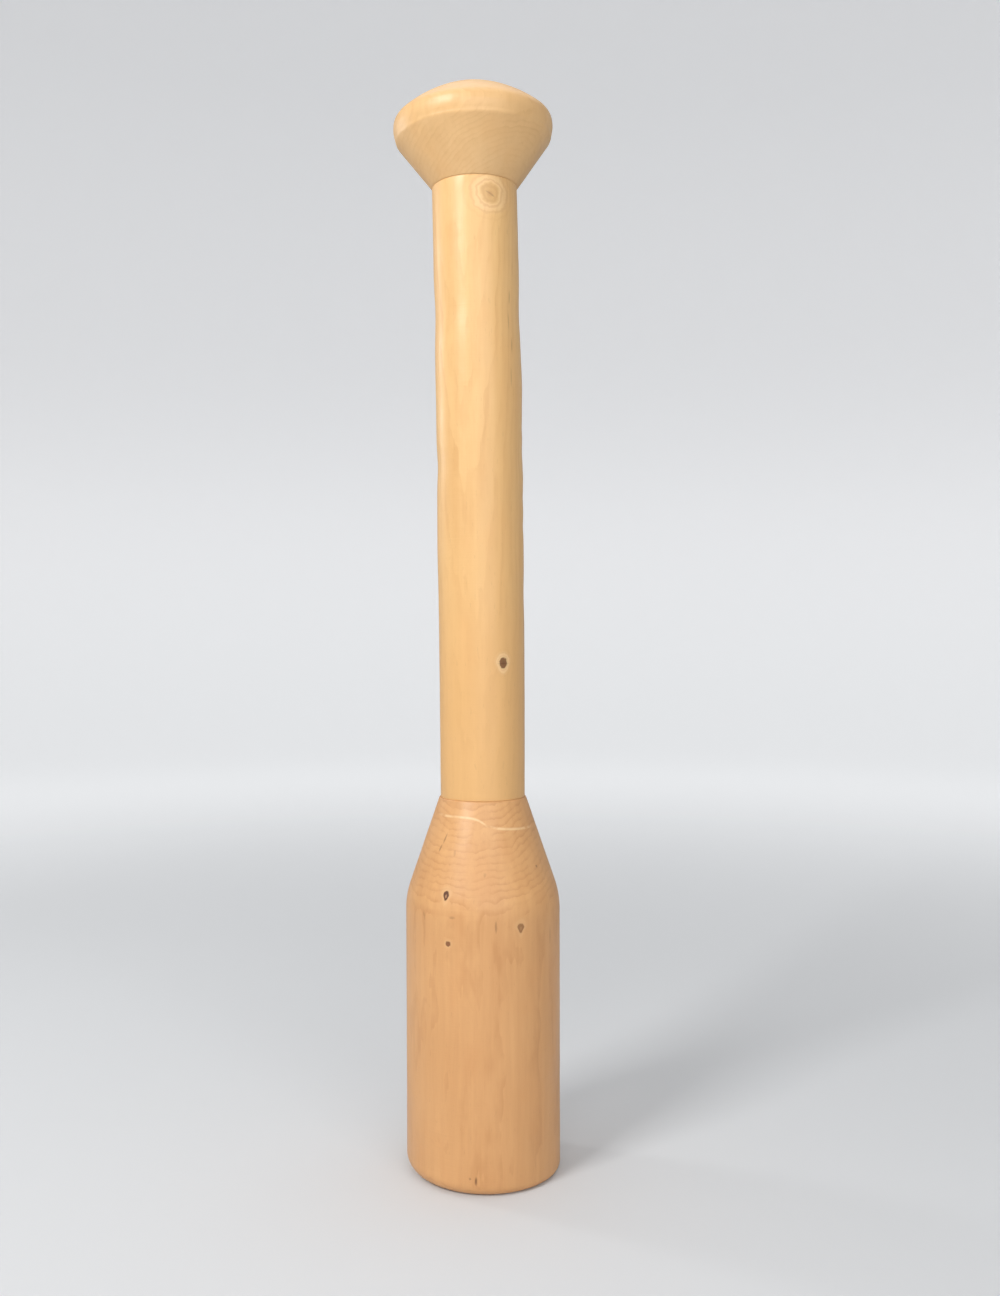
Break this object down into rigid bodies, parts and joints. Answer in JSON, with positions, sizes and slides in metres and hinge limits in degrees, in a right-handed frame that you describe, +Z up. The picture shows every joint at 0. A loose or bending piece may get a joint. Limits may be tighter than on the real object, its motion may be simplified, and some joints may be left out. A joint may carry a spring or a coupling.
{
  "type": "sauerkraut stomper",
  "caption": "Turned wooden stomper with a heavy cylindrical head, a sloping shoulder, a long round handle and a mushroom-shaped palm knob, for pressing cabbage into a crock.",
  "frame": {"origin": "centre of the head's flat foot", "axes": "+Z up along the head's axis, the handle and the knob lean a little towards -X, the side seen in the picture faces -Y"},
  "size_m": [0.064, 0.0612, 0.4196],
  "materials": {
    "head_wood": "smooth turned hardwood, satin from handling",
    "handle_wood": "smooth turned hardwood, polished by the hand",
    "knob_wood": "smooth turned hardwood, polished by the palm"
  },
  "bodies": {
    "root": {"stomping_head": "head_wood", "handle": "handle_wood", "knob": "knob_wood"}
  },
  "joints": []
}
